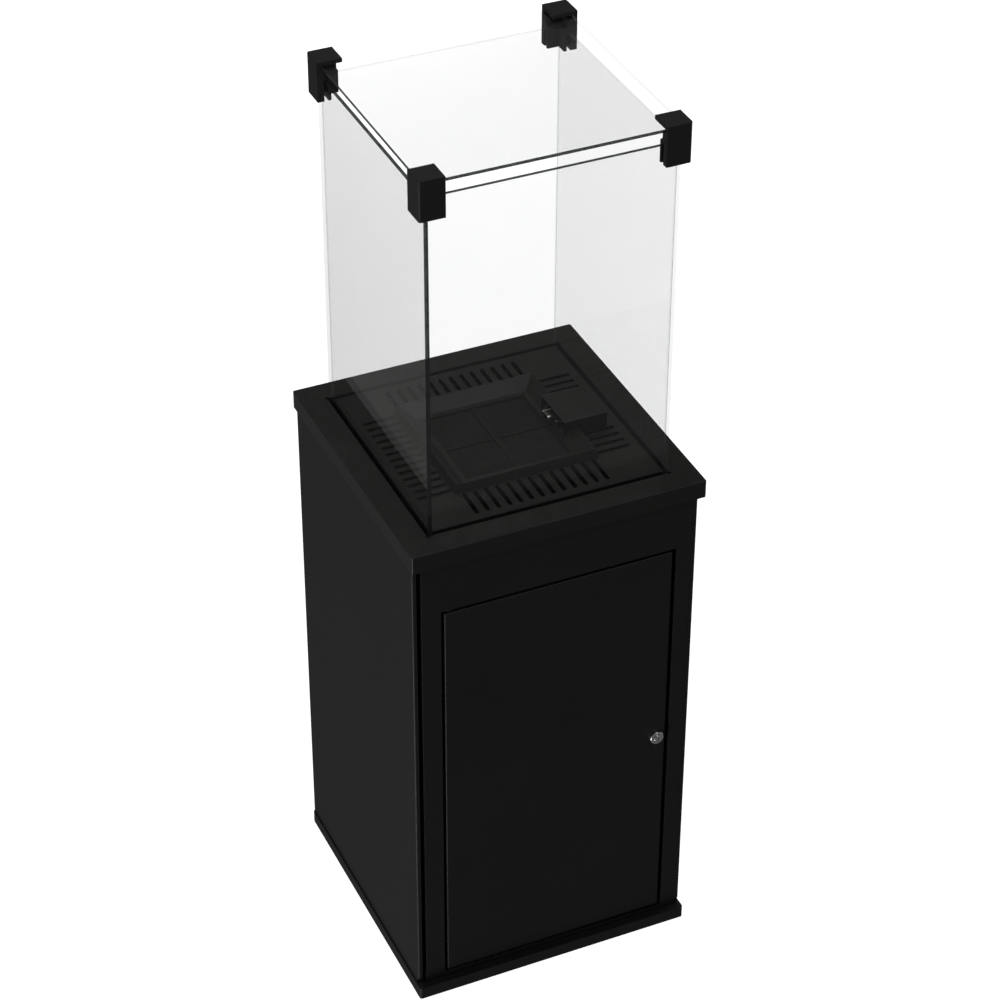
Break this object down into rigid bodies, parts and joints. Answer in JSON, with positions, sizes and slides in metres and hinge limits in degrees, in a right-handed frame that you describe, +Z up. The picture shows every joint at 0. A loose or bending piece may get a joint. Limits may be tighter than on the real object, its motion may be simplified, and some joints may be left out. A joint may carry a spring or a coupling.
{
  "type": "outdoor gas heater",
  "caption": "Square black steel cabinet with a door for a gas bottle, a slotted burner deck and an open-topped glass column under a glass roof held by corner brackets.",
  "frame": {"origin": "middle of the base, on the ground", "axes": "+Z up, the door faces -Y, +X to the right of someone facing the door"},
  "size_m": [0.4336, 0.4336, 1.3495],
  "materials": {
    "powder_coat": "textured black powder coat",
    "powder_coat_top": "fine textured black powder coat, slight gloss",
    "bracket_coat": "satin black coat on cast aluminium",
    "burner_black": "heat-resistant black",
    "burner_plaque": "dark perforated ceramic plaque",
    "ceramic": "white glazed ceramic insulator",
    "galvanised": "galvanised sheet",
    "stainless": "satin stainless sheet",
    "zinc": "bright zinc plate",
    "black_screws": "black plated",
    "brass": "machined brass",
    "tube_metal": "drawn aluminium tube",
    "silicone_red": "red silicone sleeve",
    "silicone_black": "black silicone",
    "rubber": "moulded black rubber",
    "nylon": "natural nylon",
    "black_plastic": "black moulded plastic",
    "red_plastic": "red moulded plastic",
    "chrome": "polished chrome plate",
    "pane": "clear toughened glass"
  },
  "bodies": {
    "cabinet": {"back_panel": "powder_coat", "back_panel_screws": "black_screws", "base_tray": "powder_coat", "bracket_back_left": "bracket_coat", "bracket_back_right": "bracket_coat", "bracket_front_left": "bracket_coat", "bracket_front_right": "bracket_coat", "burner_box": "stainless", "burner_collar": "powder_coat_top", "burner_frame": "burner_black", "burner_gas_pipe": "tube_metal", "burner_tray": "powder_coat_top", "control_plate": "galvanised", "door_bumpers": "rubber", "foot_pads": "rubber", "front_frame": "powder_coat", "front_frame_screws": "black_screws", "gas_valve": "brass", "glass_back": "pane", "glass_front": "pane", "glass_left": "pane", "glass_right": "pane", "glass_roof": "pane", "glass_seat": "silicone_black", "heat_shield": "galvanised", "hinge_bush_bottom": "black_plastic", "hinge_bush_top": "black_plastic", "igniter_cover": "powder_coat_top", "ignition_lead": "silicone_red", "injector": "brass", "inlet_fitting": "brass", "left_side_panel": "powder_coat", "mixer_tube": "stainless", "piezo_igniter": "black_plastic", "pilot_bracket": "stainless", "pilot_gas_pipe": "tube_metal", "pilot_hood": "stainless", "plaque_back_left": "burner_plaque", "plaque_back_right": "burner_plaque", "plaque_front_left": "burner_plaque", "plaque_front_right": "burner_plaque", "right_side_panel": "powder_coat", "roof_pads": "silicone_black", "spark_electrode": "ceramic", "thermocouple": "stainless", "thermocouple_lead": "tube_metal", "worktop": "powder_coat_top"},
    "door": {"door_panel": "powder_coat", "hinge_pin_top": "black_screws", "hinge_pin_bottom": "black_screws", "lock_housing": "chrome", "lock_nut": "zinc"},
    "lock": {"lock_plug": "chrome", "lock_cam": "zinc", "cam_screw": "zinc"},
    "valve_collar": {"spindle_collar": "nylon"},
    "knob": {"valve_spindle": "zinc", "control_knob": "black_plastic"},
    "button": {"igniter_button": "red_plastic"}
  },
  "joints": [
    {"name": "door_swing", "type": "hinge", "parent": "cabinet", "child": "door", "pos_m": [-0.1578, -0.196, 0.362], "axis": [0, 0, -1], "range_deg": [0, 105]},
    {"name": "lock_turn", "type": "hinge", "parent": "door", "child": "lock", "pos_m": [0.162, -0.196, 0.365], "axis": [0, -1, 0], "range_deg": [0, 90]},
    {"name": "knob_push", "type": "slide", "parent": "cabinet", "child": "valve_collar", "axis": [0, 1, 0], "range_m": [0, 0.004], "stiffness_N_per_m": 900, "springref_m": -0.003},
    {"name": "knob_turn", "type": "hinge", "parent": "valve_collar", "child": "knob", "pos_m": [-0.05, -0.16, 0.665], "axis": [0, -1, 0], "range_deg": [0, 180]},
    {"name": "igniter_push", "type": "slide", "parent": "cabinet", "child": "button", "axis": [0, 1, 0], "range_m": [0, 0.006], "stiffness_N_per_m": 1200, "springref_m": -0.002}
  ]
}
